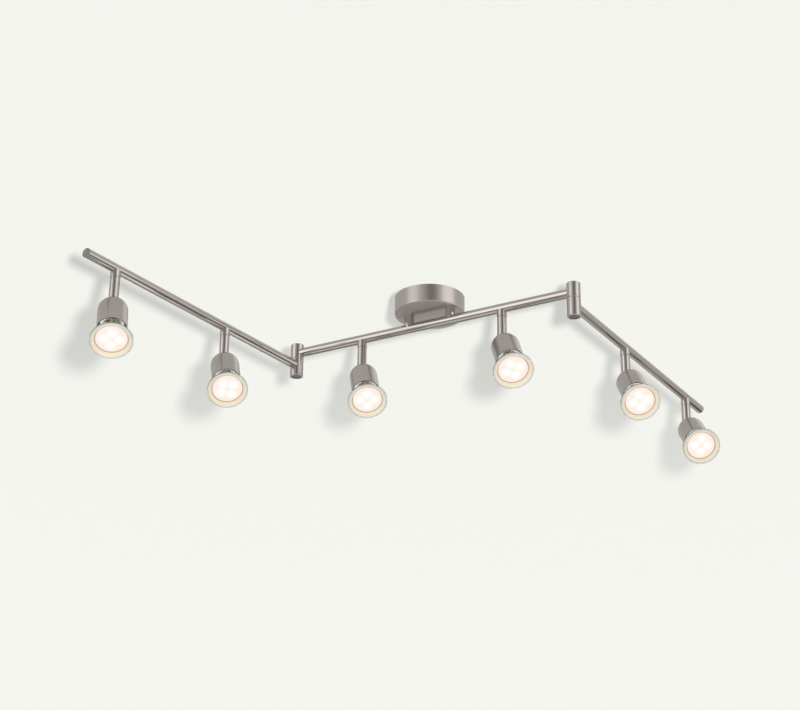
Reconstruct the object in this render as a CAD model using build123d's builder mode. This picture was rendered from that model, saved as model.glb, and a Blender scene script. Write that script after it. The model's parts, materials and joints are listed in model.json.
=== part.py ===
from build123d import *
from math import cos, radians, sin
import os

# Ceiling track light: a round canopy carries a straight main arm on two short spacer tubes.
# An outer arm swings on a vertical pivot at each end of the main arm, and six spot heads hang
# from the three arms. Each head swivels on its post and tilts on the knuckle at the post's end.
#
# Millimetres, +Z up. The origin is the centre of the ceiling face, so everything hangs below z = 0.
# The main arm runs along X. Heads 1 and 2 are on the left outer arm (which points to -Y),
# heads 3 and 4 on the main arm and heads 5 and 6 on the right outer arm (which points to +Y).

# --- Driving dimensions -------------------------------------------------------------------

canopy_radius = 45
canopy_height = 24
canopy_wall = 1.2
canopy_edge_fillet = 1.8

plate_outer_radius = 42.5
plate_inner_radius = 26
plate_thickness = 2
slot_centre_distance = 68      # screw spacing across the mounting plate
slot_width = 4.5
slot_length = 9
ear_angle = 40                 # where the plate's two ears meet the canopy wall
ear_width = 12
ear_height = 13
grub_screw_depth = 10          # below the ceiling
grub_screw_radius = 1.5

tube_radius = 6
tube_wall = 0.8
main_axis_z = -36.5
arm_drop = 17.4                # main arm's axis down to the outer arms' axis
stub_x = 30                    # spacer tubes from the canopy's centre
pivot_x = 203
arm_length = 404               # pivot axis to the tip of an outer arm
left_arm_turn = -94            # direction of each outer arm, from +X
right_arm_turn = 89

rod_radius = 4                 # hollow threaded rod, used four times
rod_bore_radius = 2.5
rod_length = 13
nut_across_flats = 11
nut_thickness = 3
barrel_radius = 8.8
barrel_bore_radius = 6.7
barrel_top_z = main_axis_z + 12
seam_z = -45
washer_thickness = 0.4
washer_inset = 0.3             # from the barrels' sides
barrel_bottom_z = -69.7
barrel_web = 2.5
seam_chamfer = 0.3             # on the edges of the barrels and ferrules
running_clearance = 0.05       # radial, between a shaft and its bore
face_gap = 0.1                 # between flat faces that slide on each other

plug_depth = 8                 # of an end plug inside its tube
plug_flange = 1.2
plug_edge_round = 0.7
plug_dish_radius = 4.6
plug_dish_depth = 0.6

collar_radius = 6.25
collar_top_drop = 3.2          # below the arm's axis
collar_bottom_drop = 12.2
spigot_radius = 4
spigot_flare_radius = 4.5
post_radius = 6
post_bore_radius = 3
post_seam = 0.4
knuckle_drop = 38              # arm's axis down to the tilt axis

fork_end_radius = 6.5          # about the tilt axis
fork_slot = 3.4
fork_pocket_radius = 3.6       # about the tilt axis, where the lug turns
tilt_reach = 50                # of a head, forwards and backwards from straight down
lug_width = 2.8
lug_radius = 3.2
knuckle_screw_radius = 1.5
knuckle_head_radius = 2.6
knuckle_head_depth = 1.2
wire_exit_height = 9           # of the hole in a post's back, above the tilt axis
wire_hole_radius = 1.5

cup_radius = 17.8              # distances along a head are measured from the tilt axis
cup_wall = 0.8
cup_shoulder_radius = 15
cup_crown = 11
cup_mouth = 61
cup_wire_hole_radius = 6.5     # from the cup's axis to its wire hole

holder_back = 20
holder_face = 37
holder_radius = 13.5
holder_flange = 1.5
pin_spacing = 10
pin_radius = 1.6
pin_head_radius = 2.5
pin_length = 7
base_radius = 13.5
base_front = 50
glass_neck_radius = 12
glass_neck_front = 61
glass_radius = 25
glass_bowl_curve = 60
glass_rim_back = 80
glass_rim_round = 1.6
glass_face_rise = 1
glass_face = 84.5
glass_wall = 1.4

wire_radius = 1

# Each head: its place along its arm, the way it faces, and its tilt away from straight down.
HEADS = [
    ("head1", "left", 353, -47, 29),
    ("head2", "left", 150, -45, 36),
    ("head3", "main", -101, -48, 35),
    ("head4", "main", 104, -47, 36),
    ("head5", "right", 150, -50, 43),
    ("head6", "right", 351, -52, 47),
]

# --- Planes and places --------------------------------------------------------------------

outer_axis_z = main_axis_z - arm_drop
tube_bore_radius = tube_radius - tube_wall
canopy_floor_z = canopy_wall - canopy_height
lower_barrel_top_z = seam_z - washer_thickness - face_gap
web_bottom_z = lower_barrel_top_z - barrel_web
pivot_nut_top_z = web_bottom_z - face_gap
rod_bottom_z = pivot_nut_top_z - nut_thickness - 1
arm_tube_start = barrel_bore_radius + 0.2
arm_tube_end = arm_length - plug_flange
main_tube_end = pivot_x - 5


def arm_plane(x, z, turn):
    """The frame of an arm: local X runs along the arm, local Z is up."""
    direction = (cos(radians(turn)), sin(radians(turn)), 0)
    return Plane(origin=(x, 0, z), x_dir=direction, z_dir=(0, 0, 1))


ARMS = {
    "main": arm_plane(0, main_axis_z, 0),
    "left": arm_plane(-pivot_x, outer_axis_z, left_arm_turn),
    "right": arm_plane(pivot_x, outer_axis_z, right_arm_turn),
}


def on_arm(arm, distance):
    """The point on an arm's axis at a distance along it."""
    frame = ARMS[arm]
    return frame.origin + frame.x_dir * distance


def cross_section(frame, distance):
    """The plane across an arm at a distance along it, with the arm's axis as its normal."""
    origin = frame.origin + frame.x_dir * distance
    return Plane(origin=origin, x_dir=frame.y_dir, z_dir=frame.x_dir)


def screw_plane(angle):
    """Where a grub screw crosses the canopy wall, with the screw's axis as its normal."""
    outward = Vector(cos(radians(angle)), sin(radians(angle)), 0)
    origin = outward * canopy_radius + Vector(0, 0, -grub_screw_depth)
    return Plane(origin=origin, x_dir=(0, 0, 1), z_dir=outward)


def profile_plane(frame):
    """The plane in which a turned part is drawn: local X is the radius, local Y the height."""
    return Plane(origin=frame.origin, x_dir=frame.x_dir, z_dir=-frame.y_dir)


def facing(swivel):
    """The horizontal direction that a head faces."""
    return Vector(cos(radians(swivel)), sin(radians(swivel)), 0)


def beam_plane(knuckle, swivel, tilt):
    """A head's own frame on its tilt axis: local Z is the beam, local Y the tilt axis."""
    forward = facing(swivel)
    up = Vector(0, 0, 1)
    beam = forward * sin(radians(tilt)) - up * cos(radians(tilt))
    across = forward * cos(radians(tilt)) + up * sin(radians(tilt))
    return Plane(origin=knuckle, x_dir=across, z_dir=beam)


def save(part, label):
    """Label a finished sub-part and write its STEP file."""
    part.label = label
    export_step(part, f"parts/{label}.step")


# --- Canopy and what it holds -------------------------------------------------------------

def make_canopy():
    """The drawn cap, open to the ceiling, with two rod holes and two grub screw holes."""
    with BuildPart() as canopy:
        with BuildSketch(Plane.XY.offset(-canopy_height)):
            Circle(canopy_radius)
        extrude(amount=canopy_height)
        fillet(canopy.edges().group_by(Axis.Z)[0], canopy_edge_fillet)
        with BuildSketch(Plane.XY.offset(canopy_floor_z)):
            Circle(canopy_radius - canopy_wall)
        extrude(amount=canopy_height, mode=Mode.SUBTRACT)
        inside = canopy.edges().filter_by(GeomType.CIRCLE).filter_by_position(
            Axis.Z, canopy_floor_z - 0.1, canopy_floor_z + 0.1)
        fillet(inside, canopy_edge_fillet - canopy_wall)
        with BuildSketch(Plane.XY.offset(-canopy_height)):
            with Locations((stub_x, 0), (-stub_x, 0)):
                Circle(rod_radius)
        extrude(amount=canopy_wall, mode=Mode.SUBTRACT)
        for angle in (ear_angle, ear_angle + 180):
            with BuildSketch(screw_plane(angle)):
                Circle(grub_screw_radius)
            extrude(amount=canopy_wall * 2, both=True, mode=Mode.SUBTRACT)
    save(canopy.part, "canopy")


def make_mounting_plate():
    """The ceiling ring with two screw slots and two turned-down ears for the grub screws."""
    ear_outer = plate_outer_radius
    ear_inner = plate_outer_radius - plate_thickness
    with BuildPart() as mounting_plate:
        with BuildSketch(Plane.XY.offset(-plate_thickness)):
            Circle(plate_outer_radius)
            Circle(plate_inner_radius, mode=Mode.SUBTRACT)
            with Locations((slot_centre_distance / 2, 0), (-slot_centre_distance / 2, 0)):
                SlotOverall(slot_length, slot_width, mode=Mode.SUBTRACT)
        extrude(amount=plate_thickness)
        with BuildSketch(Plane.XY.offset(-ear_height)):
            Circle(ear_outer)
            Circle(ear_inner, mode=Mode.SUBTRACT)
            Rectangle(4 * canopy_radius, ear_width, rotation=ear_angle, mode=Mode.INTERSECT)
        extrude(amount=ear_height - plate_thickness)
        for angle in (ear_angle, ear_angle + 180):
            with BuildSketch(screw_plane(angle)):
                Circle(grub_screw_radius)
            extrude(amount=-canopy_radius / 4, mode=Mode.SUBTRACT)
    save(mounting_plate.part, "mounting_plate")


def make_canopy_screws():
    """Two grub screws that hold the canopy to the plate's ears, slotted at the outer end."""
    screw_length = 6.5
    drive_slot = 0.6
    with BuildPart() as canopy_screws:
        for angle in (ear_angle, ear_angle + 180):
            with BuildSketch(screw_plane(angle)):
                Circle(grub_screw_radius)
            extrude(amount=-screw_length)
            with BuildSketch(screw_plane(angle)):
                Rectangle(2 * grub_screw_radius, drive_slot)
            extrude(amount=-grub_screw_radius / 2, mode=Mode.SUBTRACT)
    save(canopy_screws.part, "canopy_screws")


def make_terminal_block():
    """A three-pole block under the ring, with wire entries along Y and screw wells below."""
    pole_pitch = 9
    block_size = (28, 16, 12)
    block_y = 24
    with BuildPart() as terminal_block:
        with BuildSketch(Plane.XY.offset(-plate_thickness)):
            with Locations((0, block_y)):
                Rectangle(block_size[0], block_size[1])
        extrude(amount=-block_size[2])
        fillet(terminal_block.edges().filter_by(Axis.Z), 1)
        with BuildSketch(Plane.XZ.offset(block_size[1] / 2 - block_y)):
            with GridLocations(pole_pitch, 1, 3, 1):
                with Locations((0, -plate_thickness - block_size[2] / 2)):
                    Circle(1.7)
        extrude(amount=-block_size[1], mode=Mode.SUBTRACT)
        with BuildSketch(Plane.XY.offset(-plate_thickness - block_size[2])):
            with Locations((0, block_y)):
                with GridLocations(pole_pitch, block_size[1] / 2, 3, 2):
                    Circle(1.6)
        extrude(amount=block_size[2] / 2, mode=Mode.SUBTRACT)
    save(terminal_block.part, "terminal_block")


def make_spacer_tubes():
    """Two short tubes between the canopy and the main arm, saddle-cut to sit on the arm."""
    with BuildPart() as spacer_tubes:
        with BuildSketch(Plane.XY.offset(-canopy_height)):
            with Locations((stub_x, 0), (-stub_x, 0)):
                Circle(tube_radius)
                Circle(rod_radius, mode=Mode.SUBTRACT)
        extrude(amount=main_axis_z + canopy_height)
        with BuildSketch(cross_section(ARMS["main"], -canopy_radius)):
            Circle(tube_radius)
        extrude(amount=2 * canopy_radius, mode=Mode.SUBTRACT)
    save(spacer_tubes.part, "spacer_tubes")


def rod_tops():
    """The top centre of each hollow rod: two in the canopy floor, two in the pivots."""
    canopy_rod_top_z = canopy_floor_z + nut_thickness + 1
    pivot_rod_top_z = rod_bottom_z + rod_length
    return [
        (-stub_x, 0, canopy_rod_top_z),
        (stub_x, 0, canopy_rod_top_z),
        (-pivot_x, 0, pivot_rod_top_z),
        (pivot_x, 0, pivot_rod_top_z),
    ]


def make_hollow_rods():
    """Four equal hollow threaded rods: they clamp the parts together and pass the wires."""
    with BuildPart() as hollow_rods:
        for top in rod_tops():
            with BuildSketch(Plane(origin=top)):
                Circle(rod_radius)
                Circle(rod_bore_radius, mode=Mode.SUBTRACT)
            extrude(amount=-rod_length)
    save(hollow_rods.part, "hollow_rods")


def make_rod_nuts():
    """The hexagon nut on each rod: on the canopy's floor, and under each pivot's web."""
    canopy_nut_top_z = canopy_floor_z + nut_thickness
    with BuildPart() as rod_nuts:
        for x, _, z in rod_tops():
            nut_top_z = canopy_nut_top_z if abs(x) == stub_x else pivot_nut_top_z
            with BuildSketch(Plane(origin=(x, 0, nut_top_z))):
                RegularPolygon(nut_across_flats / 2, 6, major_radius=False)
                Circle(rod_radius, mode=Mode.SUBTRACT)
            extrude(amount=-nut_thickness)
    save(rod_nuts.part, "rod_nuts")


# --- Arms and pivots ----------------------------------------------------------------------

def arm_heads(arm):
    """The places of the heads along one arm."""
    return [place for _, host, place, _, _ in HEADS if host == arm]


def make_main_arm_tube():
    """The main tube, with rod holes in its top wall and spigot holes in its bottom wall."""
    with BuildPart() as main_arm_tube:
        with BuildSketch(cross_section(ARMS["main"], -main_tube_end)):
            Circle(tube_radius)
            Circle(tube_bore_radius, mode=Mode.SUBTRACT)
        extrude(amount=2 * main_tube_end)
        with BuildSketch(Plane.XY.offset(main_axis_z)):
            with Locations((stub_x, 0), (-stub_x, 0)):
                Circle(rod_radius)
        extrude(amount=2 * tube_radius, mode=Mode.SUBTRACT)
        with BuildSketch(Plane.XY.offset(main_axis_z)):
            with Locations(*[(place, 0) for place in arm_heads("main")]):
                Circle(spigot_radius + running_clearance)
        extrude(amount=-2 * tube_radius, mode=Mode.SUBTRACT)
    save(main_arm_tube.part, "main_arm_tube")


def make_outer_arm_tube(arm):
    """An outer tube, from its pivot barrel to its end plug, with two spigot holes below."""
    with BuildPart() as outer_tube:
        with BuildSketch(cross_section(ARMS[arm], arm_tube_start)):
            Circle(tube_radius)
            Circle(tube_bore_radius, mode=Mode.SUBTRACT)
        extrude(amount=arm_tube_end - arm_tube_start)
        with BuildSketch(ARMS[arm]):
            with Locations(*[(place, 0) for place in arm_heads(arm)]):
                Circle(spigot_radius + running_clearance)
        extrude(amount=-2 * tube_radius, mode=Mode.SUBTRACT)
    save(outer_tube.part, f"{arm}_arm_tube")


def make_end_plug(arm):
    """The plug in an outer tube's free end, with a rounded flange and a dished face."""
    flat_edge = plug_flange - plug_edge_round
    round_edge = tube_radius - plug_edge_round
    dish_bottom = plug_flange - plug_dish_depth
    dish_curve = (plug_dish_radius ** 2 + plug_dish_depth ** 2) / (2 * plug_dish_depth)
    tip_plane = cross_section(ARMS[arm], arm_tube_end)
    with BuildPart() as end_plug:
        with BuildSketch(tip_plane):
            Circle(tube_bore_radius)
        extrude(amount=-plug_depth)
        with BuildSketch(profile_plane(tip_plane)):
            with BuildLine():
                Polyline((0, dish_bottom), (0, 0), (tube_radius, 0), (tube_radius, flat_edge))
                RadiusArc((tube_radius, flat_edge), (round_edge, plug_flange), -plug_edge_round)
                Line((round_edge, plug_flange), (plug_dish_radius, plug_flange))
                RadiusArc((plug_dish_radius, plug_flange), (0, dish_bottom), dish_curve)
            make_face()
        revolve(axis=Axis(tip_plane.origin, tip_plane.z_dir))
    save(end_plug.part, f"{arm}_arm_end_plug")


def make_collars(arm):
    """The saddle-cut ferrules under an arm, one for each head, that the posts turn in."""
    frame = ARMS[arm]
    with BuildPart() as collars:
        with BuildSketch(frame.offset(-collar_bottom_drop)):
            with Locations(*[(place, 0) for place in arm_heads(arm)]):
                Circle(collar_radius)
                Circle(spigot_radius + running_clearance, mode=Mode.SUBTRACT)
        extrude(amount=collar_bottom_drop - collar_top_drop)
        chamfer(collars.edges().group_by(Axis.Z)[0], seam_chamfer)
        with BuildSketch(cross_section(frame, -arm_length)):
            Circle(tube_radius)
        extrude(amount=2 * arm_length, mode=Mode.SUBTRACT)
    save(collars.part, f"{arm}_arm_collars")


def make_upper_barrels():
    """The barrels fixed on the main arm's ends, bored from the side and from below."""
    edge_fillet = 0.8
    with BuildPart() as upper_barrels:
        with BuildSketch(Plane.XY.offset(seam_z)):
            with Locations((pivot_x, 0), (-pivot_x, 0)):
                Circle(barrel_radius)
        extrude(amount=barrel_top_z - seam_z)
        fillet(upper_barrels.edges().group_by(Axis.Z)[-1], edge_fillet)
        chamfer(upper_barrels.edges().group_by(Axis.Z)[0], seam_chamfer)
        with BuildSketch(cross_section(ARMS["main"], -main_tube_end)):
            Circle(tube_radius)
        extrude(amount=2 * main_tube_end, mode=Mode.SUBTRACT)
        with BuildSketch(cross_section(ARMS["main"], -pivot_x)):
            Circle(tube_bore_radius)
        extrude(amount=2 * pivot_x, mode=Mode.SUBTRACT)
        with BuildSketch(Plane.XY.offset(seam_z)):
            with Locations((pivot_x, 0), (-pivot_x, 0)):
                Circle(rod_radius)
        extrude(amount=main_axis_z - seam_z, mode=Mode.SUBTRACT)
    save(upper_barrels.part, "upper_barrels")


def make_pivot_washers():
    """The nylon friction washer between the two barrels of each pivot."""
    washer_radius = barrel_radius - washer_inset
    with BuildPart() as pivot_washers:
        with BuildSketch(Plane.XY.offset(seam_z)):
            with Locations((pivot_x, 0), (-pivot_x, 0)):
                Circle(washer_radius)
                Circle(rod_radius, mode=Mode.SUBTRACT)
        extrude(amount=-washer_thickness)
    save(pivot_washers.part, "pivot_washers")


def make_lower_barrel(arm):
    """The barrel that turns with an outer arm: a web on top, hollow below for the nut."""
    frame = ARMS[arm]
    pivot = Plane(origin=(frame.origin.X, 0, 0), x_dir=frame.x_dir, z_dir=(0, 0, 1))
    with BuildPart() as lower_barrel:
        with BuildSketch(pivot.offset(barrel_bottom_z)):
            Circle(barrel_radius)
        extrude(amount=lower_barrel_top_z - barrel_bottom_z)
        chamfer(lower_barrel.edges().filter_by(GeomType.CIRCLE), seam_chamfer)
        with BuildSketch(pivot.offset(barrel_bottom_z)):
            Circle(barrel_bore_radius)
        extrude(amount=web_bottom_z - barrel_bottom_z, mode=Mode.SUBTRACT)
        with BuildSketch(pivot.offset(web_bottom_z)):
            Circle(rod_radius + running_clearance)
        extrude(amount=2 * barrel_web, mode=Mode.SUBTRACT)
        with BuildSketch(cross_section(frame, arm_tube_start)):
            Circle(tube_radius)
        extrude(amount=2 * barrel_radius, mode=Mode.SUBTRACT)
        with BuildSketch(cross_section(frame, 0)):
            Circle(tube_bore_radius)
        extrude(amount=2 * barrel_radius, mode=Mode.SUBTRACT)
    save(lower_barrel.part, f"{arm}_lower_barrel")


def make_bottom_cap(arm):
    """The round plate that closes a lower barrel, set back a little from its rim."""
    inset = 0.5
    thickness = 2
    frame = ARMS[arm]
    cap_bottom = Plane(origin=(frame.origin.X, 0, barrel_bottom_z + inset))
    with BuildPart() as bottom_cap:
        with BuildSketch(cap_bottom):
            Circle(barrel_bore_radius)
        extrude(amount=thickness)
        fillet(bottom_cap.edges().group_by(Axis.Z)[0], inset)
    save(bottom_cap.part, f"{arm}_barrel_cap")


def make_wiring(arm, start, end):
    """The two insulated wires along one arm's tube, above the post spigots."""
    wire_spread = 2.4
    wire_height = 1.6
    with BuildPart() as wiring:
        with BuildSketch(cross_section(ARMS[arm], start)):
            with Locations((wire_spread / 2, wire_height), (-wire_spread / 2, wire_height)):
                Circle(wire_radius)
        extrude(amount=end - start)
    save(wiring.part, f"{arm}_arm_wiring")


# --- Heads --------------------------------------------------------------------------------

def fork_opening():
    """The side outline that a lug sweeps below its pocket, as far as it tilts each way."""
    lean_across = cos(radians(tilt_reach))
    lean_up = sin(radians(tilt_reach))
    touch = (fork_pocket_radius * lean_across, fork_pocket_radius * lean_up)
    edge_length = 2 * post_radius
    end = (touch[0] + edge_length * lean_up, touch[1] - edge_length * lean_across)
    below = -2 * fork_end_radius
    Polyline(
        touch, end, (end[0], below),
        (-end[0], below), (-end[0], end[1]), (-touch[0], touch[1]),
        close=True,
    )


def make_post(head, knuckle, swivel):
    """The hollow post: a flared spigot that turns in the collar, and a fork at the knuckle."""
    flare_top = knuckle_drop - 0.9
    flare_bottom = knuckle_drop - 1.9
    post_top = knuckle_drop - collar_bottom_drop - post_seam
    bore_bottom = wire_exit_height - wire_hole_radius
    frame = Plane(origin=knuckle, x_dir=facing(swivel), z_dir=(0, 0, 1))
    side = profile_plane(frame)
    wire_exit = Plane(origin=knuckle + Vector(0, 0, wire_exit_height), z_dir=-frame.x_dir)
    with BuildPart() as post:
        with BuildSketch(frame.offset(-fork_end_radius)):
            Circle(post_radius)
        extrude(amount=fork_end_radius + post_top)
        with BuildSketch(side):
            Circle(fork_end_radius)
            with Locations((0, post_top / 2)):
                Rectangle(2 * fork_end_radius, post_top)
        extrude(amount=2 * post_radius, both=True, mode=Mode.INTERSECT)
        with BuildSketch(frame.offset(post_top)):
            Circle(spigot_radius)
        extrude(amount=flare_bottom - post_top)
        with BuildSketch(frame.offset(flare_bottom)):
            Circle(spigot_flare_radius)
        extrude(amount=flare_top - flare_bottom)
        with BuildSketch(frame.offset(bore_bottom)):
            Circle(post_bore_radius)
        extrude(amount=flare_top, mode=Mode.SUBTRACT)
        with BuildSketch(wire_exit):
            Circle(wire_hole_radius)
        extrude(amount=2 * post_radius, mode=Mode.SUBTRACT)
        with BuildSketch(side):
            Circle(fork_pocket_radius)
            with BuildLine():
                fork_opening()
            make_face()
        extrude(amount=fork_slot / 2, both=True, mode=Mode.SUBTRACT)
        with BuildSketch(side):
            Circle(knuckle_screw_radius)
        extrude(amount=post_radius, both=True, mode=Mode.SUBTRACT)
        with BuildSketch(side.offset(post_radius - knuckle_head_depth)):
            Circle(knuckle_head_radius)
        extrude(amount=post_radius, mode=Mode.SUBTRACT)
    save(post.part, f"{head}_post")


def make_knuckle_screw(head, knuckle, swivel):
    """The screw through the fork and the cup's lug, with its slotted head sunk in a cheek."""
    drive_slot = 0.8
    tip_setback = 0.4
    side = profile_plane(Plane(origin=knuckle, x_dir=facing(swivel), z_dir=(0, 0, 1)))
    head_back = post_radius - knuckle_head_depth
    with BuildPart() as knuckle_screw:
        with BuildSketch(side.offset(tip_setback - post_radius)):
            Circle(knuckle_screw_radius)
        extrude(amount=head_back + post_radius - tip_setback)
        with BuildSketch(side.offset(head_back)):
            Circle(knuckle_head_radius)
        extrude(amount=knuckle_head_depth)
        with BuildSketch(side.offset(post_radius)):
            Rectangle(2 * knuckle_head_radius, drive_slot)
        extrude(amount=-knuckle_head_depth / 2, mode=Mode.SUBTRACT)
    save(knuckle_screw.part, f"{head}_knuckle_screw")


def cup_outline(inset):
    """The cup's turned outline, from the axis over the shoulder to the mouth."""
    radius = cup_radius - inset
    shoulder = cup_shoulder_radius - inset
    crown = cup_crown + inset
    Line((0, crown), (radius - shoulder, crown))
    RadiusArc((radius - shoulder, crown), (radius, crown + shoulder), -shoulder)
    Line((radius, crown + shoulder), (radius, cup_mouth))
    Line((radius, cup_mouth), (0, cup_mouth))
    Line((0, cup_mouth), (0, crown))


def make_cup(head, beam):
    """The domed cup, open at the mouth, with the knuckle lug and a wire hole in its crown."""
    beam_axis = Axis(beam.origin, beam.z_dir)
    tilt_plane = profile_plane(beam)
    lug_depth = cup_crown + cup_wall
    with BuildPart() as cup:
        with BuildSketch(tilt_plane):
            with BuildLine():
                cup_outline(0)
            make_face()
        revolve(axis=beam_axis)
        with BuildSketch(tilt_plane):
            with BuildLine():
                cup_outline(cup_wall)
            make_face()
        revolve(axis=beam_axis, mode=Mode.SUBTRACT)
        with BuildSketch(tilt_plane):
            Circle(lug_radius)
            with Locations((0, lug_depth / 2)):
                Rectangle(2 * lug_radius, lug_depth)
            Circle(knuckle_screw_radius + running_clearance, mode=Mode.SUBTRACT)
        extrude(amount=lug_width / 2, both=True)
        with BuildSketch(beam):
            with Locations((-cup_wire_hole_radius, 0)):
                Circle(wire_hole_radius)
        extrude(amount=holder_back, mode=Mode.SUBTRACT)
    save(cup.part, f"{head}_cup")


def make_lampholder(head, beam):
    """The ceramic lampholder: a round body, a thin flange on the cup's wall and two pin wells."""
    with BuildPart() as lampholder:
        with BuildSketch(beam.offset(holder_back)):
            Circle(holder_radius)
        extrude(amount=holder_face - holder_back)
        chamfer(lampholder.edges().filter_by(GeomType.CIRCLE), 0.8)
        with BuildSketch(beam.offset(holder_face - 2 * holder_flange)):
            Circle(cup_radius - cup_wall)
        extrude(amount=holder_flange)
        with BuildSketch(beam.offset(holder_face)):
            with Locations((0, pin_spacing / 2), (0, -pin_spacing / 2)):
                Circle(pin_head_radius + 0.3)
        extrude(amount=-pin_length - 1, mode=Mode.SUBTRACT)
    save(lampholder.part, f"{head}_lampholder")


def make_bulb_base(head, beam):
    """The bulb's tapered base, with two twist-lock pins that stand in the lampholder."""
    pin_head_length = 3
    neck_radius = base_radius - 2.5
    with BuildPart() as bulb_base:
        with BuildSketch(profile_plane(beam)):
            with BuildLine():
                Polyline(
                    (0, holder_face),
                    (neck_radius, holder_face),
                    (base_radius, holder_face + 5),
                    (base_radius, base_front),
                    (0, base_front),
                    close=True,
                )
            make_face()
        revolve(axis=Axis(beam.origin, beam.z_dir))
        with BuildSketch(beam.offset(holder_face)):
            with Locations((0, pin_spacing / 2), (0, -pin_spacing / 2)):
                Circle(pin_radius)
        extrude(amount=-pin_length)
        with BuildSketch(beam.offset(holder_face - pin_length)):
            with Locations((0, pin_spacing / 2), (0, -pin_spacing / 2)):
                Circle(pin_head_radius)
        extrude(amount=pin_head_length)
    save(bulb_base.part, f"{head}_bulb_base")


def glass_outline(inset):
    """Half of the bulb glass's outline: neck, flared bowl, rounded rim and shallow face."""
    neck = glass_neck_radius - inset
    rim = glass_radius - inset
    rim_round = glass_rim_round - inset / 2
    face_edge = rim - rim_round
    face_z = glass_face - inset
    rim_front = face_z - glass_face_rise
    face_curve = (face_edge ** 2 + glass_face_rise ** 2) / (2 * glass_face_rise)
    Line((0, base_front), (neck, base_front))
    Line((neck, base_front), (neck, glass_neck_front))
    RadiusArc((neck, glass_neck_front), (rim, glass_rim_back), -glass_bowl_curve)
    Line((rim, glass_rim_back), (rim, rim_front - rim_round))
    RadiusArc((rim, rim_front - rim_round), (face_edge, rim_front), -rim_round)
    RadiusArc((face_edge, rim_front), (0, face_z), -face_curve)
    Line((0, face_z), (0, base_front))


def make_bulb_glass(head, beam):
    """The bulb's hollow glass: a bowl with its face, open at the neck where the base is."""
    beam_axis = Axis(beam.origin, beam.z_dir)
    with BuildPart() as bulb_glass:
        with BuildSketch(profile_plane(beam)):
            with BuildLine():
                glass_outline(0)
            make_face()
        revolve(axis=beam_axis)
        with BuildSketch(profile_plane(beam)):
            with BuildLine():
                glass_outline(glass_wall)
            make_face()
        revolve(axis=beam_axis, mode=Mode.SUBTRACT)
    save(bulb_glass.part, f"{head}_bulb_glass")


def make_head(head, arm, place, swivel, tilt):
    """One spot head, at the swivel and tilt that it is set to."""
    knuckle = on_arm(arm, place) - Vector(0, 0, knuckle_drop)
    beam = beam_plane(knuckle, swivel, tilt)
    make_post(head, knuckle, swivel)
    make_knuckle_screw(head, knuckle, swivel)
    make_cup(head, beam)
    make_lampholder(head, beam)
    make_bulb_base(head, beam)
    make_bulb_glass(head, beam)


# --- The whole fixture --------------------------------------------------------------------

os.makedirs("parts", exist_ok=True)

make_canopy()
make_mounting_plate()
make_canopy_screws()
make_terminal_block()
make_spacer_tubes()
make_hollow_rods()
make_rod_nuts()
make_main_arm_tube()
make_collars("main")
make_upper_barrels()
make_pivot_washers()
make_wiring("main", -main_tube_end, main_tube_end)

for outer_arm in ("left", "right"):
    make_outer_arm_tube(outer_arm)
    make_end_plug(outer_arm)
    make_collars(outer_arm)
    make_lower_barrel(outer_arm)
    make_bottom_cap(outer_arm)
    make_wiring(outer_arm, arm_tube_start, max(arm_heads(outer_arm)) + collar_radius)

for head_name, host_arm, place_on_arm, swivel_angle, tilt_angle in HEADS:
    make_head(head_name, host_arm, place_on_arm, swivel_angle, tilt_angle)
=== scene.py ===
import json
import math

import bmesh
import bpy
from mathutils import Matrix, Vector


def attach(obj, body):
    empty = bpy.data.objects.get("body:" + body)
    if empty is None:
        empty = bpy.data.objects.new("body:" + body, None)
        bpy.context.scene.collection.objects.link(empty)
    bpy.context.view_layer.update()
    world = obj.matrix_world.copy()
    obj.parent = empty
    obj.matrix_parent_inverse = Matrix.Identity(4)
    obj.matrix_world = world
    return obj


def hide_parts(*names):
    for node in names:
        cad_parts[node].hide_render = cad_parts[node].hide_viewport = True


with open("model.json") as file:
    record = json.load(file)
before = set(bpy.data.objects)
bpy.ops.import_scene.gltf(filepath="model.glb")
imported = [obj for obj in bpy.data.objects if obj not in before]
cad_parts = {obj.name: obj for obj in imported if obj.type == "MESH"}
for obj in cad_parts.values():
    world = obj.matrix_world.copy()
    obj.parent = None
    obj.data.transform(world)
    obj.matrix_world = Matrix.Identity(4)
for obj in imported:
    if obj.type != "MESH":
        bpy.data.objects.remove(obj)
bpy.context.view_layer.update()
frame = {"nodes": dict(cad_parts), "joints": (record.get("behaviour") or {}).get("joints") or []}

# Looks for the ceiling track light: satin nickel metal, and six lit reflector bulbs.
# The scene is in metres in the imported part's frame: +Z is up, the ceiling is at z = 0.
# Sizes of the bulb are in millimetres and angles in degrees, and both are converted where they are used.

MM = 0.001
HEADS = [f"head{number}" for number in range(1, 7)]

# A bulb and its cup: distances along the head's beam from its tilt axis, radii about the beam and
# thicknesses. The ribs' depth is a share of the mirror's radius.
NECK_BACK = 50.2
NECK_FRONT = 61
NECK_RADIUS = 12
BOWL_FRONT = 80
RIM_RADIUS = 25
RIM_FRONT = 84.2
RIM_WIDTH = 1.9
RIM_INSIDE = RIM_RADIUS - RIM_WIDTH
GLASS_WALL = 1.2
MIRROR_GAP = 0.3
MIRROR_RIBS = 16
MIRROR_RIB_DEPTH = 0.05
CUP_INSIDE_RADIUS = 17.4
CUP_INSIDE_START = 30
LENS_PLANE = 78.6
LENS_RADIUS = 18.6
LENS_RISE = 0.6
SEAT_RADIUS = 19.5
LED_COUNT = 4
LED_CIRCLE = 8.6
LED_RADIUS = 2.6
LED_RISE = 0.9
LED_GLOW_CORE = 1
LED_GLOW_REACH = 9
PIP_RADIUS = 0.9
PIP_RISE = 1.1
# How far each bulb's lamps are turned about its beam, for heads 1 to 6.
LAMP_TURNS = [0, 45, 10, 35, 20, 5]

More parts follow.
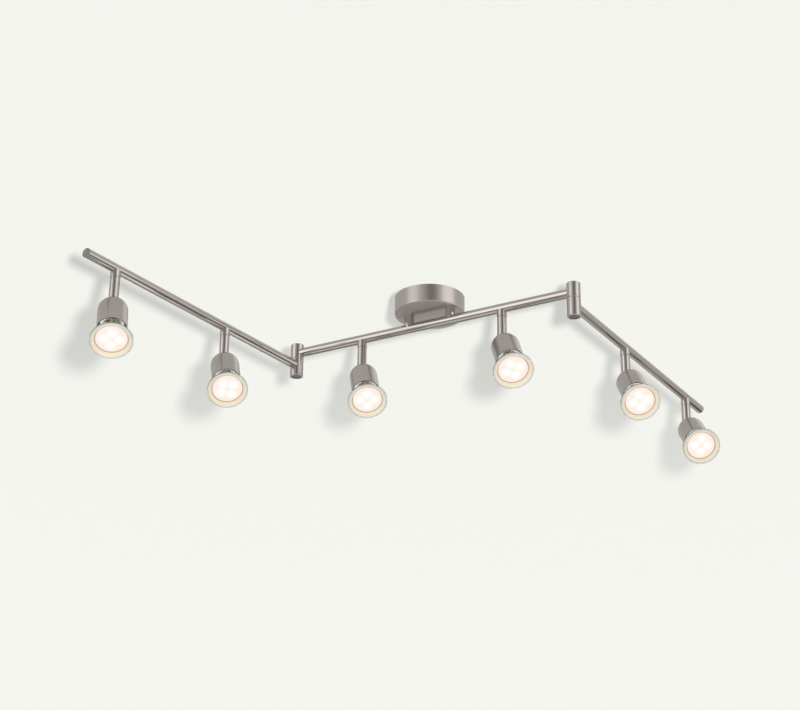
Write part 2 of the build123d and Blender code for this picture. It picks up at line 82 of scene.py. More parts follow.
NICKEL = (0.64, 0.595, 0.565)
# A near-black painted shade for the inside wall of each cup.
PAINTED_CUP_SHADE = (0.02, 0.016, 0.015)
BRUSH_SCALE = 2600
SPUN_SCALE = 2200
FINE_BUMP = 0.01 * MM
# The turn about Z that brings each arm's length onto +X, along which the brush runs.
ARM_TURNS = {"main": 0, "left": 94, "right": -89}

CAMERA_AZIMUTH = 30.44
CAMERA_ELEVATION = -23.0
CAMERA_ROLL = 0.79
CAMERA_DISTANCE = 2.2527
CAMERA_LENS = 78.88
CAMERA_SENSOR = 36
CAMERA_AIM = Vector((-0.0402, -0.0055, -0.0732))

# The stage. Azimuths are counted from the camera's side, to its right.
BACKDROP_HALF = 12
BACKDROP_GAP = 0.05
BACKDROP_GLOW = 0.08
SURROUND_COLOUR = (0.90, 0.90, 0.86)
AMBIENT_LEVEL = 0.2
KEY_SHIFT = (0.15, 0.07)
KEY_SIZE = 0.1
KEY_POWER = 60
FILL_ELEVATION = -50
FILL_POWER = 2.0
ROOM_COLOUR = (1, 0.98, 0.96)
ROOM_LEVEL = 0.52
# What gloss sees in the room, soft boxes and dark cards (a level below zero):
# azimuth, elevation, half width, half height and softness in degrees, level.
ROOM = [
    (-58, 3, 18, 24, 10, 0.72),
    (-57, -4, 14, 9, 6, 0.30),
    (62, 20, 20, 22, 10, 0.60),
    (4, 23, 15, 22, 14, -0.32),
    (98, -1, 15, 14, 6, 0.42),
    (124, -29, 27, 7, 5, -0.42),
    (146, -50, 20, 8, 6, 0.38),
    (150, 40, 16, 12, 8, 0.25),
    (180, -38, 13, 6, 5, -0.32),
    (-67, -43, 16, 7, 5, -0.34),
    (-168, -49, 15, 8, 6, -0.38),
    (-110, -62, 28, 8, 6, 0.16),
]


# --- Node helpers ---------------------------------------------------------------------------

def new_material(name):
    """A new node material, its node tree and its Principled shader."""
    material = bpy.data.materials.new(name)
    material.use_nodes = True
    tree = material.node_tree
    shader = tree.nodes["Principled BSDF"]
    return material, tree, shader


def add_node(tree, kind, **values):
    """A node of a kind, with its properties or input sockets set by name."""
    node = tree.nodes.new(kind)
    for name, value in values.items():
        if hasattr(node, name):
            setattr(node, name, value)
        else:
            node.inputs[name.replace("_", " ")].default_value = value
    return node


def shade(colour, share):
    """A share of a colour."""
    return tuple(share * channel for channel in colour)


def ramp(tree, source, stops):
    """A colour ramp on a value, from (position, grey or colour) stops."""
    node = tree.nodes.new("ShaderNodeValToRGB")
    elements = node.color_ramp.elements
    while len(elements) < len(stops):
        elements.new(0.5)
    for element, (position, colour) in zip(elements, stops):
        if isinstance(colour, (int, float)):
            colour = (colour, colour, colour)
        element.position = position
        element.color = (*colour, 1)
    tree.links.new(source, node.inputs["Fac"])
    return node.outputs["Color"]


def object_noise(tree, scale, stretch=(1, 1, 1), turn=0.0, detail=4.0):
    """Noise in the object's own frame, turned about Z and stretched along its axes."""
    place = add_node(tree, "ShaderNodeTexCoord")
    mapping = add_node(tree, "ShaderNodeMapping")
    mapping.inputs["Rotation"].default_value = (0, 0, turn)
    spread = add_node(tree, "ShaderNodeMapping")
    spread.inputs["Scale"].default_value = stretch
    noise = add_node(tree, "ShaderNodeTexNoise", Scale=scale, Detail=detail)
    tree.links.new(place.outputs["Object"], mapping.inputs["Vector"])
    tree.links.new(mapping.outputs["Vector"], spread.inputs["Vector"])
    tree.links.new(spread.outputs["Vector"], noise.inputs["Vector"])
    return noise.outputs["Fac"]


def lathe_noise(tree, scale):
    """Noise in rings about the upright axis, as turning or spinning leaves."""
    place = add_node(tree, "ShaderNodeTexCoord")
    flat = add_node(tree, "ShaderNodeVectorMath", operation="MULTIPLY")
    flat.inputs[1].default_value = (1, 1, 0)
    radius = add_node(tree, "ShaderNodeVectorMath", operation="LENGTH")
    split = add_node(tree, "ShaderNodeSeparateXYZ")
    rings = add_node(tree, "ShaderNodeCombineXYZ")
    noise = add_node(tree, "ShaderNodeTexNoise", Scale=scale, Detail=5)
    tree.links.new(place.outputs["Object"], flat.inputs[0])
    tree.links.new(flat.outputs["Vector"], radius.inputs[0])
    tree.links.new(place.outputs["Object"], split.inputs["Vector"])
    tree.links.new(radius.outputs["Value"], rings.inputs["X"])
    tree.links.new(split.outputs["Z"], rings.inputs["Y"])
    tree.links.new(rings.outputs["Vector"], noise.inputs["Vector"])
    return noise.outputs["Fac"]


def add_bump(tree, shader, height, strength, distance):
    """Bump on a shader from a height."""
    bump = add_node(tree, "ShaderNodeBump", Strength=strength, Distance=distance)
    tree.links.new(height, bump.inputs["Height"])
    tree.links.new(bump.outputs["Normal"], shader.inputs["Normal"])


# --- Materials ------------------------------------------------------------------------------

def nickel(name):
    """Satin nickel plate, a warm grey metal that is a little cloudy, before it is brushed."""
    material, tree, shader = new_material(name)
    shader.inputs["Metallic"].default_value = 1
    cloud = object_noise(tree, 45)
    colour = ramp(tree, cloud, [(0.35, shade(NICKEL, 0.94)), (0.65, NICKEL)])
    tree.links.new(colour, shader.inputs["Base Color"])
    return material, tree, shader


def brushed(name, stretch, turn=0.0, low=0.08, high=0.12):
    """Satin nickel with a fine brush along one direction."""
    material, tree, shader = nickel(name)
    brush = object_noise(tree, BRUSH_SCALE, stretch, turn, detail=3)
    tree.links.new(ramp(tree, brush, [(0.3, low), (0.7, high)]), shader.inputs["Roughness"])
    add_bump(tree, shader, brush, 0.02, FINE_BUMP)
    return material


def spun(name, low, high):
    """Satin nickel with the fine rings of spinning about the upright axis."""
    material, tree, shader = nickel(name)
    rings = lathe_noise(tree, SPUN_SCALE)
    tree.links.new(ramp(tree, rings, [(0.3, low), (0.7, high)]), shader.inputs["Roughness"])
    add_bump(tree, shader, rings, 0.08, FINE_BUMP)
    return material


def cup_shade_mask(tree, head):
    """One on a cup's inside wall, which lies near the beam and forward of the crown, else zero: the mask
    for the painted shade inside the cup.
    """
    matrix = beam_matrix(head)
    beam = matrix.to_3x3().col[2]
    place = add_node(tree, "ShaderNodeTexCoord")
    shift = add_node(tree, "ShaderNodeVectorMath", operation="SUBTRACT")
    shift.inputs[1].default_value = matrix.translation
    cross = add_node(tree, "ShaderNodeVectorMath", operation="CROSS_PRODUCT")
    cross.inputs[1].default_value = beam
    radius = add_node(tree, "ShaderNodeVectorMath", operation="LENGTH")
    along = add_node(tree, "ShaderNodeVectorMath", operation="DOT_PRODUCT")
    along.inputs[1].default_value = beam
    within = add_node(tree, "ShaderNodeMath", operation="LESS_THAN")
    within.inputs[1].default_value = CUP_INSIDE_RADIUS * MM
    beyond = add_node(tree, "ShaderNodeMath", operation="GREATER_THAN")
    beyond.inputs[1].default_value = CUP_INSIDE_START * MM
    inside = add_node(tree, "ShaderNodeMath", operation="MULTIPLY")
    tree.links.new(place.outputs["Object"], shift.inputs[0])
    tree.links.new(shift.outputs["Vector"], cross.inputs[0])
    tree.links.new(cross.outputs["Vector"], radius.inputs[0])
    tree.links.new(shift.outputs["Vector"], along.inputs[0])
    tree.links.new(radius.outputs["Value"], within.inputs[0])
    tree.links.new(along.outputs["Value"], beyond.inputs[0])
    tree.links.new(within.outputs[0], inside.inputs[0])
    tree.links.new(beyond.outputs[0], inside.inputs[1])
    return inside.outputs[0]


def cup_nickel(head, low, high):
    """A cup's look: satin nickel outside, and a near-black painted shade on the inside wall, where shade
    falls deep in the cup.
    """
    material, tree, shader = nickel(f"nickel_{head}_cup")
    brush = object_noise(tree, BRUSH_SCALE)
    tree.links.new(ramp(tree, brush, [(0.3, low), (0.7, high)]), shader.inputs["Roughness"])
    plating = shader.inputs["Base Color"].links[0].from_socket
    # The near-black painted shade on the cup's inside wall, mixed over the nickel.
    painted_shade_mix = add_node(tree, "ShaderNodeMix", data_type="RGBA")
    painted_shade_mix.inputs["B"].default_value = (*PAINTED_CUP_SHADE, 1)
    tree.links.new(cup_shade_mask(tree, head), painted_shade_mix.inputs["Factor"])
    tree.links.new(plating, painted_shade_mix.inputs["A"])
    tree.links.new(painted_shade_mix.outputs["Result"], shader.inputs["Base Color"])
    return material


def metal(name, tint, roughness):
    """A plain turned or pressed metal with uneven roughness."""
    spread = 0.08
    material, tree, shader = new_material(name)
    shader.inputs["Metallic"].default_value = 1
    grain = object_noise(tree, 400)
    colour = ramp(tree, grain, [(0.3, shade(tint, 0.85)), (0.7, tint)])
    tree.links.new(colour, shader.inputs["Base Color"])
    rough = ramp(tree, grain, [(0.3, roughness - spread), (0.7, roughness + spread)])
    tree.links.new(rough, shader.inputs["Roughness"])
    return material


def painted_reflection_mirror(name, dark, bright):
    """A mirror whose colour is painted in broken-up blotches, some near-black and some bright: painted
    reflections of its own inside, and painted highlights.
    """
    material, tree, shader = new_material(name)
    shader.inputs["Metallic"].default_value = 1
    shader.inputs["Roughness"].default_value = 0.12
    # Painted reflections: noise blotches of near-black and bright colour on the mirror.
    painted_reflection_blotches = object_noise(tree, 200, detail=2)
    colour = ramp(tree, painted_reflection_blotches, [(0.42, dark), (0.6, bright)])
    tree.links.new(colour, shader.inputs["Base Color"])
    return material


def moulded(name, tint, roughness):
    """A moulded plastic or glazed ceramic with a fine surface grain."""
    spread = 0.05
    material, tree, shader = new_material(name)
    grain = object_noise(tree, 700)
    mottle = object_noise(tree, 60)
    colour = ramp(tree, mottle, [(0.3, shade(tint, 0.94)), (0.7, tint)])
    tree.links.new(colour, shader.inputs["Base Color"])
    rough = ramp(tree, grain, [(0.3, roughness - spread), (0.7, roughness + spread)])
    tree.links.new(rough, shader.inputs["Roughness"])
    add_bump(tree, shader, grain, 0.1, 0.05 * MM)
    return material


def clear_glass(name, tint, cover, roughness):
    """Pressed glass with slight waves, drawn as a surface that hides a share of what is behind it."""
    material, tree, shader = new_material(name)
    shader.inputs["Alpha"].default_value = cover
    wave = object_noise(tree, 120)
    colour = ramp(tree, wave, [(0.3, shade(tint, 0.9)), (0.7, tint)])
    tree.links.new(colour, shader.inputs["Base Color"])
    rough = ramp(tree, wave, [(0.3, roughness), (0.7, roughness + 0.05)])
    tree.links.new(rough, shader.inputs["Roughness"])
    add_bump(tree, shader, wave, 0.05, 0.2 * MM)
    return material


def glow(name, colour, strength):
    """Even light from a lit surface, a little cloudy: the lamps' own light, and painted light on the
    bezel and the lens seat, which stand in for the lens's light falling on them.
    """
    material, tree, shader = new_material(name)
    cloud = object_noise(tree, 90)
    tint = ramp(tree, cloud, [(0.35, shade(colour, 0.96)), (0.65, colour)])
    shader.inputs["Base Color"].default_value = (*shade(colour, 0.2), 1)
    shader.inputs["Roughness"].default_value = 0.35
    tree.links.new(tint, shader.inputs["Emission Color"])
    shader.inputs["Emission Strength"].default_value = strength
    return material


def lit_lens(name, plain, bright, strength):
    """The lens: a plain glow with four brighter spots, at the lamps that stand on its axes.

    Folding a point by its coordinates' sizes, the larger one first, brings all four spots onto one.
    """
    material, tree, shader = new_material(name)
    place = add_node(tree, "ShaderNodeTexCoord")
    split = add_node(tree, "ShaderNodeSeparateXYZ")
    tree.links.new(place.outputs["Object"], split.inputs["Vector"])
    folded = []
    for axis in ("X", "Y"):
        size = add_node(tree, "ShaderNodeMath", operation="ABSOLUTE")
        tree.links.new(split.outputs[axis], size.inputs[0])
        folded.append(size.outputs[0])
    spot = add_node(tree, "ShaderNodeCombineXYZ")
    for operation, socket in (("MAXIMUM", "X"), ("MINIMUM", "Y")):
        pick = add_node(tree, "ShaderNodeMath", operation=operation)
        tree.links.new(folded[0], pick.inputs[0])
        tree.links.new(folded[1], pick.inputs[1])
        tree.links.new(pick.outputs[0], spot.inputs[socket])
    gap = add_node(tree, "ShaderNodeVectorMath", operation="DISTANCE")
    gap.inputs[1].default_value = (LED_CIRCLE * MM, 0, 0)
    tree.links.new(spot.outputs["Vector"], gap.inputs[0])
    fall = add_node(tree, "ShaderNodeMapRange", interpolation_type="SMOOTHSTEP")
    fall.inputs["From Min"].default_value = LED_GLOW_CORE * MM
    fall.inputs["From Max"].default_value = LED_GLOW_REACH * MM
    tree.links.new(gap.outputs["Value"], fall.inputs["Value"])
    colour = ramp(tree, fall.outputs["Result"], [(0.0, bright), (1.0, plain)])
    shader.inputs["Base Color"].default_value = (*shade(plain, 0.05), 1)
    shader.inputs["Roughness"].default_value = 0.3
    tree.links.new(colour, shader.inputs["Emission Color"])
    shader.inputs["Emission Strength"].default_value = strength
    return material


def dress(obj, material):
    """Give a CAD node or a new piece its one material."""
    obj.data.materials.clear()
    obj.data.materials.append(material)


def add_object(name, data):
    """A new object in the scene, with its mesh, light or camera."""
    obj = bpy.data.objects.new(name, data)
    bpy.context.scene.collection.objects.link(obj)
    return obj


# --- New pieces -----------------------------------------------------------------------------

def turned(name, outline, matrix, closed=False, ribs=0, rib_depth=0.0):
    """A turned piece: (radius, height) points in millimetres, spun about local Z.

    Ribs are shallow flutes around it, and their depth is a share of the radius.
    """
    steps = 96
    mesh = bpy.data.meshes.new(name)
    shape = bmesh.new()
    rings = []
    for radius, height in outline:
        if radius == 0:
            rings.append([shape.verts.new((0, 0, height * MM))])
            continue
        ring = []
        for step in range(steps):
            angle = 2 * math.pi * step / steps
            reach = radius * MM * (1 - rib_depth * abs(math.sin(ribs * angle / 2)))
            point = (reach * math.cos(angle), reach * math.sin(angle), height * MM)
            ring.append(shape.verts.new(point))
        rings.append(ring)
    pairs = list(zip(rings, rings[1:]))
    if closed:
        pairs.append((rings[-1], rings[0]))
    for near, far in pairs:
        for step in range(steps):
            after = (step + 1) % steps
            if len(near) == 1:
                shape.faces.new((near[0], far[after], far[step]))
            elif len(far) == 1:
                shape.faces.new((near[step], near[after], far[0]))
            else:
                shape.faces.new((near[step], near[after], far[after], far[step]))
    bmesh.ops.recalc_face_normals(shape, faces=shape.faces)
    for face in shape.faces:
        face.smooth = True
    shape.to_mesh(mesh)
    shape.free()
    piece = add_object(name, mesh)
    piece.matrix_world = matrix
    return piece


def bowl_points(inset):
    """The glass bowl's bulging flare from its neck to its rim, drawn in by an inset."""
    count = 14
    bulge = 1.3
    points = []
    for step in range(count + 1):
        share = step / count
        height = NECK_FRONT + (BOWL_FRONT - NECK_FRONT) * share
        flare = NECK_RADIUS + (RIM_RADIUS - NECK_RADIUS) * share
        radius = flare + bulge * math.sin(math.pi * share) - inset
        points.append((radius, height))
    return points


def dome_points(radius, rise, base):
    """A shallow dome's outline from its edge to its top."""
    count = 6
    points = []
    for step in range(count):
        angle = math.pi / 2 * step / count
        points.append((radius * math.cos(angle), base + rise * math.sin(angle)))
    points.append((0, base + rise))
    return points


def beam_matrix(head):
    """A head's own frame: origin on its tilt axis, local Z along its beam.

    The tilt joint reaches as far to either side of a beam that points straight down.
    """
    joint = next(joint for joint in frame["joints"] if joint["name"] == f"{head}_tilt")
    hinge = Vector(joint["axis"]).normalized()
    tilt = math.radians(-sum(joint["range_deg"]) / 2)
    forward = Vector((-hinge.y, hinge.x, 0))
    beam = forward * math.sin(tilt) - Vector((0, 0, 1)) * math.cos(tilt)
    across = hinge.cross(beam)
    turn = Matrix((across, hinge, beam)).transposed()
    return Matrix.Translation(joint["pos_m"]) @ turn.to_4x4()


def make_rim(head, place):
    """The thick rounded rim at the mouth of the glass."""
    outline = [
        (RIM_RADIUS, BOWL_FRONT),
        (RIM_RADIUS, RIM_FRONT - 1.2),
        (RIM_RADIUS - 0.3, RIM_FRONT - 0.4),
        (RIM_RADIUS - 0.9, RIM_FRONT),
        (RIM_INSIDE + 0.3, RIM_FRONT),
        (RIM_INSIDE, RIM_FRONT - 0.3),
        (RIM_INSIDE, BOWL_FRONT),
    ]
    return turned(f"{head}_rim", outline, place, closed=True)


def make_glass(head, place):
    """The bulb's clear neck and bowl, up to the rim."""
    outer = [(NECK_RADIUS, NECK_BACK), *bowl_points(0)]
    inner = [*reversed(bowl_points(GLASS_WALL)), (NECK_RADIUS - GLASS_WALL, NECK_BACK)]
    return turned(f"{head}_glass", outer + inner, place, closed=True)


def make_reflector(head, place):
    """The fluted mirror that lines the glass, from the back of its neck to the bezel."""
    inset = GLASS_WALL + MIRROR_GAP
    edge = RIM_INSIDE - 2 * MIRROR_GAP
    bowl = [(radius, height) for radius, height in bowl_points(inset) if radius < edge]
    outline = [(NECK_RADIUS - inset, NECK_BACK + 0.5), *bowl]
    name = f"{head}_reflector"
    return turned(name, outline, place, ribs=MIRROR_RIBS, rib_depth=MIRROR_RIB_DEPTH)


def make_bezel(head, place):
    """The pale ring that slopes in from the rim to the lens."""
    lip = RIM_INSIDE - 0.1
    outline = [
        (lip, RIM_FRONT - 3.2),
        (lip, RIM_FRONT - 0.9),
        (lip - 0.3, RIM_FRONT - 0.6),
        (lip - 0.8, RIM_FRONT - 0.7),
        (lip - 1.3, RIM_FRONT - 1.4),
        (SEAT_RADIUS, LENS_PLANE + 0.8),
        (SEAT_RADIUS, LENS_PLANE - 1.5),
    ]
    return turned(f"{head}_bezel", outline, place)


def make_seat(head, place):
    """The narrow darker step between the bezel and the lens."""
    outline = [
        (SEAT_RADIUS, LENS_PLANE + 0.6),
        (LENS_RADIUS, LENS_PLANE + 0.1),
        (LENS_RADIUS, LENS_PLANE - 1.5),
    ]
    return turned(f"{head}_lens_seat", outline, place)


def make_lens(head, place):
    """The slightly domed lens that carries the lamps' domes."""
    outline = [
        (0, LENS_PLANE - 1.2),
        (LENS_RADIUS - 0.4, LENS_PLANE - 1.2),
        (LENS_RADIUS - 0.2, LENS_PLANE),
    ]
    for share in (0.9, 0.7, 0.4, 0):
        outline.append((LENS_RADIUS * share, LENS_PLANE + LENS_RISE * (1 - share ** 2)))
    return turned(f"{head}_lens", outline, place)


def make_lamps(head, place):
    """The lamps, small domes in a circle on the lens, and the pip at its centre."""
    lamps = []
    dome = dome_points(LED_RADIUS, LED_RISE, LENS_PLANE + 0.3)
    for number in range(LED_COUNT):
        angle = 2 * math.pi / LED_COUNT * number
        shift = Vector((math.cos(angle), math.sin(angle), 0)) * LED_CIRCLE * MM
        lamps.append(turned(f"{head}_lamp{number + 1}", dome, place @ Matrix.Translation(shift)))
    pip = turned(f"{head}_pip", dome_points(PIP_RADIUS, PIP_RISE, LENS_PLANE + 0.4), place)
    return lamps, pip


def make_bulb(head, lamp_turn, materials):
    """The lit bulb's visible pieces, riding with the spot."""
    place = beam_matrix(head) @ Matrix.Rotation(lamp_turn, 4, "Z")
    glass = make_glass(head, place)
    lamps, pip = make_lamps(head, place)
    looks = [
        (glass, "glass"),
        (make_rim(head, place), "rim"),
        (make_reflector(head, place), "reflector"),
        (make_bezel(head, place), "bezel"),
        (make_seat(head, place), "seat"),
        (make_lens(head, place), "lens"),
        (pip, "pip"),
    ]
    looks += [(lamp, "lamp") for lamp in lamps]
    for piece, look in looks:
        dress(piece, materials[look])
        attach(piece, f"{head}_spot")
    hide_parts(f"{head}_bulb_glass")


# --- The object -----------------------------------------------------------------------------

def dress_metal():
    """Satin nickel, brushed along each arm and post, and the darker barrel caps and end plugs."""
    along = (0.01, 1, 1)
    up = (1, 1, 0.02)
    tubes = {}
    for arm, turn in ARM_TURNS.items():
        tubes[arm] = brushed(f"nickel_{arm}_arm", along, turn=math.radians(turn))
    upright = brushed("nickel_posts", up, low=0.10, high=0.15)
    bottom = metal("barrel_cap", (0.24, 0.24, 0.29), 0.22)
    plug = moulded("end_plug", (0.12, 0.12, 0.09), 0.25)
    nodes = frame["nodes"]
    for arm, material in tubes.items():
        dress(nodes[f"{arm}_arm_tube"], material)
        dress(nodes[f"{arm}_arm_collars"], upright)
    for arm in ("left", "right"):
        dress(nodes[f"{arm}_arm_end_plug"], plug)
        dress(nodes[f"{arm}_lower_barrel"], upright)
        dress(nodes[f"{arm}_barrel_cap"], bottom)
    for name in ("spacer_tubes", "upper_barrels"):
        dress(nodes[name], upright)
    dress(nodes["canopy"], spun("nickel_canopy", 0.26, 0.33))
    for head in HEADS:
        dress(nodes[f"{head}_post"], upright)
        dress(nodes[f"{head}_cup"], cup_nickel(head, 0.20, 0.26))


def dress_fittings():
    """The fasteners, the wiring and the parts inside the canopy and the cups."""
    zinc = metal("zinc_plate", (0.72, 0.73, 0.75), 0.3)
    brass = metal("turned_brass", (0.78, 0.62, 0.32), 0.28)
    nylon = moulded("grey_nylon", (0.16, 0.155, 0.15), 0.5)
    white = moulded("white_plastic", (0.85, 0.85, 0.82), 0.4)
    sleeve = moulded("wire_sleeve", (0.8, 0.78, 0.72), 0.5)
    ceramic = moulded("glazed_ceramic", (0.82, 0.8, 0.75), 0.2)
    base = moulded("bulb_base", (0.55, 0.55, 0.52), 0.35)
    nodes = frame["nodes"]
    for name in ("mounting_plate", "canopy_screws"):
        dress(nodes[name], zinc)
    for name in ("hollow_rods", "rod_nuts"):
        dress(nodes[name], brass)
    for arm in ARM_TURNS:
        dress(nodes[f"{arm}_arm_wiring"], sleeve)
    dress(nodes["pivot_washers"], nylon)
    dress(nodes["terminal_block"], white)
    for head in HEADS:
        dress(nodes[f"{head}_knuckle_screw"], zinc)
        dress(nodes[f"{head}_lampholder"], ceramic)
        dress(nodes[f"{head}_bulb_base"], base)


def make_bulbs():
    """Six lit bulbs, each twisted home with its lamps at a different turn."""
    # The reflector's painted reflections: a near-black for the shade it reflects from inside the bulb,
    # and a pale gold for its painted highlights.
    dark = (0.045, 0.033, 0.02)
    bright = (0.92, 0.89, 0.70)
    materials = {
        "glass": clear_glass("bulb_glass_clear", (0.30, 0.31, 0.25), cover=0.12, roughness=0.05),
        "rim": clear_glass("bulb_rim_clear", (0.39, 0.385, 0.345), cover=0.88, roughness=0.08),
        "reflector": painted_reflection_mirror("bulb_reflector", dark, bright),
        # The bezel and the lens seat are no lamps: their glow is painted light, for the lens's light
        # falling on them.
        "bezel": glow("bulb_bezel_painted_glow", (1, 0.87, 0.68), 0.50),
        "seat": glow("bulb_lens_seat_painted_glow", (0.62, 0.46, 0.32), 0.45),
        "lens": lit_lens("bulb_lens", (0.88, 0.77, 0.70), (1, 0.98, 0.95), 1.0),
        "lamp": glow("bulb_lamp", (1, 0.99, 0.96), 1.0),
        "pip": moulded("bulb_pip", (0.62, 0.58, 0.32), 0.4),
    }
    for head, lamp_turn in zip(HEADS, LAMP_TURNS):
        make_bulb(head, math.radians(lamp_turn), materials)


# --- Stage, light and camera ----------------------------------------------------------------

def heading(azimuth, elevation):
    """A unit direction, with its azimuth counted from the camera's side, to the camera's right."""
    turn = math.radians(CAMERA_AZIMUTH + azimuth)
    rise = math.radians(elevation)
    return Vector((math.sin(turn) * math.cos(rise), -math.cos(turn) * math.cos(rise), math.sin(rise)))


def camera_axes():
    """The camera's place, and its right, up and back directions before it rolls."""
    back = heading(0, CAMERA_ELEVATION)
    right = Vector((0, 0, 1)).cross(back).normalized()
    return CAMERA_AIM + back * CAMERA_DISTANCE, right, back.cross(right), back


def key_place():
    """Where the key light stands, and the direction it shines in."""
    camera, right, up, _ = camera_axes()
    place = camera + right * KEY_SHIFT[0] + up * KEY_SHIFT[1]
    return place, (CAMERA_AIM - place).normalized()


def even_paint(tree):
    """A grey that cancels the fall-off of the lights over the backdrop, so that it looks flat.

    The key gives a level plane at a given height power / pi^2 * height * reach / distance^4,
    where reach is measured along the key's axis.
    """
    place, axis = key_place()
    height = BACKDROP_GAP - place.z
    fill = FILL_POWER * math.sin(math.radians(-FILL_ELEVATION)) / math.pi
    spot = add_node(tree, "ShaderNodeNewGeometry")
    ray = add_node(tree, "ShaderNodeVectorMath", operation="SUBTRACT")
    ray.inputs[1].default_value = place
    reach = add_node(tree, "ShaderNodeVectorMath", operation="DOT_PRODUCT")
    reach.inputs[1].default_value = axis
    square = add_node(tree, "ShaderNodeVectorMath", operation="DOT_PRODUCT")
    fourth = add_node(tree, "ShaderNodeMath", operation="MULTIPLY")
    share = add_node(tree, "ShaderNodeMath", operation="DIVIDE")
    lit = add_node(tree, "ShaderNodeMath", operation="MULTIPLY_ADD")
    lit.inputs[1].default_value = KEY_POWER / math.pi ** 2 * height
    lit.inputs[2].default_value = AMBIENT_LEVEL + fill
    grey = add_node(tree, "ShaderNodeMath", operation="DIVIDE")
    grey.inputs[0].default_value = 1 - BACKDROP_GLOW
    paint = add_node(tree, "ShaderNodeVectorMath", operation="SCALE")
    paint.inputs[0].default_value = SURROUND_COLOUR
    tree.links.new(spot.outputs["Position"], ray.inputs[0])
    tree.links.new(ray.outputs["Vector"], reach.inputs[0])
    tree.links.new(ray.outputs["Vector"], square.inputs[0])
    tree.links.new(ray.outputs["Vector"], square.inputs[1])
    tree.links.new(square.outputs["Value"], fourth.inputs[0])
    tree.links.new(square.outputs["Value"], fourth.inputs[1])
    tree.links.new(reach.outputs["Value"], share.inputs[0])
    tree.links.new(fourth.outputs[0], share.inputs[1])
    tree.links.new(share.outputs[0], lit.inputs[0])
    tree.links.new(lit.outputs[0], grey.inputs[1])
    tree.links.new(grey.outputs[0], paint.inputs["Scale"])
    return paint.outputs["Vector"]


def make_backdrop():
    """The pale plane behind the fixture, evenly bright but for the shadows, seen only from below."""
    half = BACKDROP_HALF
    mesh = bpy.data.meshes.new("backdrop")
    corners = [(-half, half, 0), (half, half, 0), (half, -half, 0), (-half, -half, 0)]
    mesh.from_pydata(corners, [], [(0, 1, 2, 3)])
    backdrop = add_object("backdrop", mesh)
    backdrop.location.z = BACKDROP_GAP
    material, tree, shader = new_material("backdrop_paint")
    tree.links.new(even_paint(tree), shader.inputs["Base Color"])
    shader.inputs["Roughness"].default_value = 1
    shader.inputs["Specular IOR Level"].default_value = 0
    shader.inputs["Emission Color"].default_value = (*SURROUND_COLOUR, 1)
    shader.inputs["Emission Strength"].default_value = BACKDROP_GLOW
    side = add_node(tree, "ShaderNodeNewGeometry")
    clear = add_node(tree, "ShaderNodeBsdfTransparent")
    choice = add_node(tree, "ShaderNodeMixShader")
    tree.links.new(side.outputs["Backfacing"], choice.inputs["Fac"])
    tree.links.new(shader.outputs["BSDF"], choice.inputs[1])
    tree.links.new(clear.outputs["BSDF"], choice.inputs[2])
    tree.links.new(choice.outputs["Shader"], tree.nodes["Material Output"].inputs["Surface"])
    dress(backdrop, material)
    backdrop.visible_glossy = False


def add_light(name, kind, power, place, direction):
    """A light that shines along a direction, left out of reflections."""
    data = bpy.data.lights.new(name, kind)
    data.energy = power
    light = add_object(name, data)
    light.location = place
    light.rotation_euler = direction.to_track_quat("-Z", "Y").to_euler()
    light.visible_glossy = False
    return data


def make_lights():
    """A small key beside the camera, which casts the shadows, and an even fill from below."""
    place, axis = key_place()
    key = add_light("key", "AREA", KEY_POWER, place, axis)
    key.shape = "DISK"
    key.size = KEY_SIZE
    fill = add_light("fill", "SUN", FILL_POWER, place, -heading(0, FILL_ELEVATION))
    fill.use_shadow = False


def soft_box(tree, direction, azimuth, elevation, half_width, half_height, softness, level):
    """A soft-edged rectangle of the room, as a level that is zero outside it."""
    centre = heading(azimuth, elevation)
    right = Vector((0, 0, 1)).cross(centre).normalized()
    up = centre.cross(right)
    parts = []
    for axis in (centre, right, up):
        part = add_node(tree, "ShaderNodeVectorMath", operation="DOT_PRODUCT")
        part.inputs[1].default_value = axis
        tree.links.new(direction, part.inputs[0])
        parts.append(part.outputs["Value"])
    inside = add_node(tree, "ShaderNodeMath", operation="GREATER_THAN")
    inside.inputs[1].default_value = 0
    tree.links.new(parts[0], inside.inputs[0])
    result = inside.outputs[0]
    for part, half_angle in ((parts[1], half_width), (parts[2], half_height)):
        slope = add_node(tree, "ShaderNodeMath", operation="DIVIDE")
        size = add_node(tree, "ShaderNodeMath", operation="ABSOLUTE")
        fall = add_node(tree, "ShaderNodeMapRange", interpolation_type="SMOOTHSTEP")
        fall.inputs["From Min"].default_value = math.tan(math.radians(half_angle + softness / 2))
        fall.inputs["From Max"].default_value = math.tan(math.radians(half_angle - softness / 2))
        joined = add_node(tree, "ShaderNodeMath", operation="MULTIPLY")
        tree.links.new(part, slope.inputs[0])
        tree.links.new(parts[0], slope.inputs[1])
        tree.links.new(slope.outputs[0], size.inputs[0])
        tree.links.new(size.outputs[0], fall.inputs["Value"])
        tree.links.new(fall.outputs["Result"], joined.inputs[0])
        tree.links.new(result, joined.inputs[1])
        result = joined.outputs[0]
    scaled = add_node(tree, "ShaderNodeMath", operation="MULTIPLY")
    scaled.inputs[1].default_value = level
    tree.links.new(result, scaled.inputs[0])
    return scaled.outputs[0]


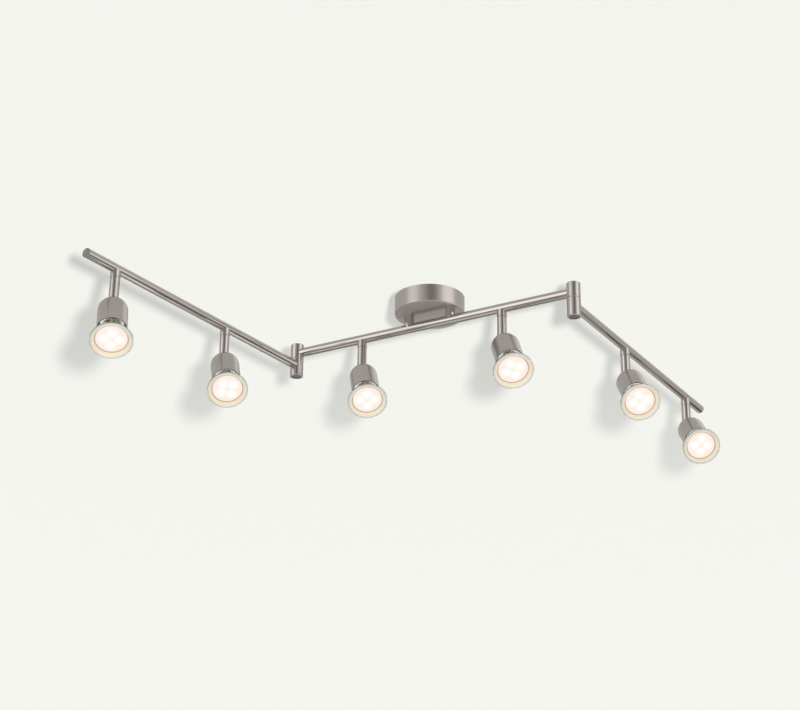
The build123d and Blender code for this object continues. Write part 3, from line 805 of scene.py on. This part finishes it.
def make_world():
    """A pale surround, dimmer as light on matt surfaces, and for gloss a room of soft boxes."""
    world = bpy.data.worlds.new("studio")
    bpy.context.scene.world = world
    world.use_nodes = True
    tree = world.node_tree
    place = add_node(tree, "ShaderNodeTexCoord")
    level = add_node(tree, "ShaderNodeMath", operation="ADD")
    level.inputs[0].default_value = ROOM_LEVEL
    level.inputs[1].default_value = 0
    for box in ROOM:
        added = add_node(tree, "ShaderNodeMath", operation="ADD")
        tree.links.new(level.outputs[0], added.inputs[0])
        tree.links.new(soft_box(tree, place.outputs["Generated"], *box), added.inputs[1])
        level = added
    surround = tree.nodes["Background"]
    surround.inputs["Color"].default_value = (*SURROUND_COLOUR, 1)
    ambient = add_node(tree, "ShaderNodeBackground")
    ambient.inputs["Color"].default_value = (1, 1, 1, 1)
    ambient.inputs["Strength"].default_value = AMBIENT_LEVEL
    room = add_node(tree, "ShaderNodeBackground")
    room.inputs["Color"].default_value = (*ROOM_COLOUR, 1)
    tree.links.new(level.outputs[0], room.inputs["Strength"])
    path = add_node(tree, "ShaderNodeLightPath")
    shader = surround.outputs["Background"]
    for kind, source in (("Is Diffuse Ray", ambient), ("Is Glossy Ray", room)):
        choice = add_node(tree, "ShaderNodeMixShader")
        tree.links.new(path.outputs[kind], choice.inputs["Fac"])
        tree.links.new(shader, choice.inputs[1])
        tree.links.new(source.outputs["Background"], choice.inputs[2])
        shader = choice.outputs["Shader"]
    tree.links.new(shader, tree.nodes["World Output"].inputs["Surface"])


def make_camera():
    """The camera, below the fixture and in front of it, looking up."""
    place, _, _, back = camera_axes()
    data = bpy.data.cameras.new("camera")
    data.lens = CAMERA_LENS
    data.sensor_width = CAMERA_SENSOR
    data.clip_start = 0.05
    data.clip_end = 100
    camera = add_object("camera", data)
    level = (-back).to_track_quat("-Z", "Y").to_matrix()
    roll = Matrix.Rotation(math.radians(CAMERA_ROLL), 3, "Z")
    camera.matrix_world = Matrix.Translation(place) @ (level @ roll).to_4x4()
    bpy.context.scene.camera = camera


dress_metal()
dress_fittings()
make_bulbs()
make_backdrop()
make_world()
make_lights()
make_camera()
bpy.context.scene.view_settings.view_transform = "Standard"
